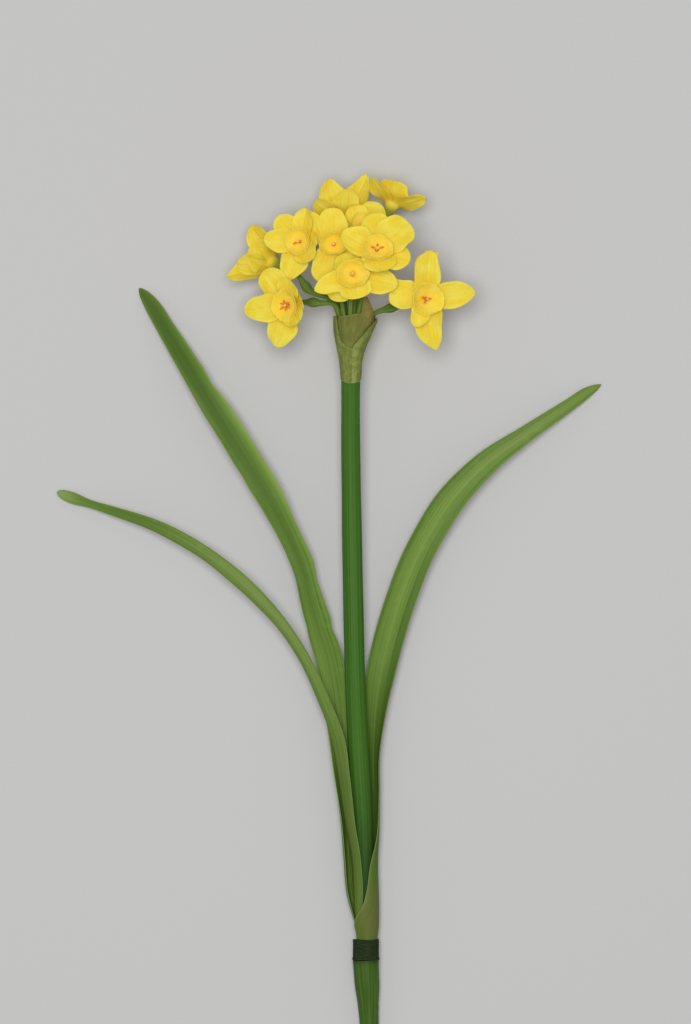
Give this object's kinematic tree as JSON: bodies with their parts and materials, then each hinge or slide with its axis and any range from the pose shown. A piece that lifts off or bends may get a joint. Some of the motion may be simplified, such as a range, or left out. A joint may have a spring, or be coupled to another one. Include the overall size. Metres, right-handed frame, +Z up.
{
  "type": "daffodil flower",
  "caption": "Cut stem of a golden, many-flowered daffodil with a head of open florets, a papery spathe and long strap leaves, lying on its back.",
  "frame": {"origin": "the middle of the lying stem's footprint, on the surface that it rests on", "axes": "+Y along the stem from its cut foot to the flower head, +Z up from the surface, towards the side that the open florets face, +X to the right seen from above with the head away"},
  "size_m": [0.2752, 0.4394, 0.0666],
  "materials": {
    "stem_green": "satin, fresh green stalk tissue, darker along its edges",
    "leaf_green": "satin, fine parallel veins along the leaf",
    "tape_green": "matte, dark green waxed crepe tape",
    "spathe_paper": "matte, dry papery olive-brown bract, green at its base",
    "petal_yellow": "soft matte, bright yellow with fine lengthwise pleats",
    "corona_yellow": "soft matte, deeper golden yellow with radial folds",
    "anther_orange": "matte, orange pollen on pale filaments"
  },
  "bodies": {
    "root": {"lower_stem": "stem_green", "scape": "stem_green", "binding_tape": "tape_green", "right_leaf": "leaf_green", "left_long_leaf": "leaf_green", "left_low_leaf": "leaf_green", "spathe": "spathe_paper", "right_floret_stalk": "stem_green", "right_floret_outer_petals": "petal_yellow", "right_floret_inner_petals": "petal_yellow", "right_floret_corona": "corona_yellow", "right_floret_stamens": "anther_orange", "low_floret_stalk": "stem_green", "low_floret_outer_petals": "petal_yellow", "low_floret_inner_petals": "petal_yellow", "low_floret_corona": "corona_yellow", "low_floret_stamens": "anther_orange", "front_floret_stalk": "stem_green", "front_floret_outer_petals": "petal_yellow", "front_floret_inner_petals": "petal_yellow", "front_floret_corona": "corona_yellow", "front_floret_stamens": "anther_orange", "centre_floret_stalk": "stem_green", "centre_floret_outer_petals": "petal_yellow", "centre_floret_inner_petals": "petal_yellow", "centre_floret_corona": "corona_yellow", "centre_floret_stamens": "anther_orange", "back_floret_stalk": "stem_green", "back_floret_outer_petals": "petal_yellow", "back_floret_inner_petals": "petal_yellow", "back_floret_corona": "corona_yellow", "back_floret_stamens": "anther_orange", "left_floret_stalk": "stem_green", "left_floret_outer_petals": "petal_yellow", "left_floret_inner_petals": "petal_yellow", "left_floret_corona": "corona_yellow", "left_floret_stamens": "anther_orange", "far_left_floret_stalk": "stem_green", "far_left_floret_outer_petals": "petal_yellow", "far_left_floret_inner_petals": "petal_yellow", "far_left_floret_corona": "corona_yellow", "far_left_floret_stamens": "anther_orange", "low_left_floret_stalk": "stem_green", "low_left_floret_outer_petals": "petal_yellow", "low_left_floret_inner_petals": "petal_yellow", "low_left_floret_corona": "corona_yellow", "low_left_floret_stamens": "anther_orange", "top_floret_stalk": "stem_green", "top_floret_outer_petals": "petal_yellow", "top_floret_inner_petals": "petal_yellow", "top_floret_corona": "corona_yellow", "top_floret_stamens": "anther_orange", "top_right_floret_stalk": "stem_green", "top_right_floret_outer_petals": "petal_yellow", "top_right_floret_inner_petals": "petal_yellow", "top_right_floret_corona": "corona_yellow", "top_right_floret_stamens": "anther_orange"}
  },
  "joints": []
}
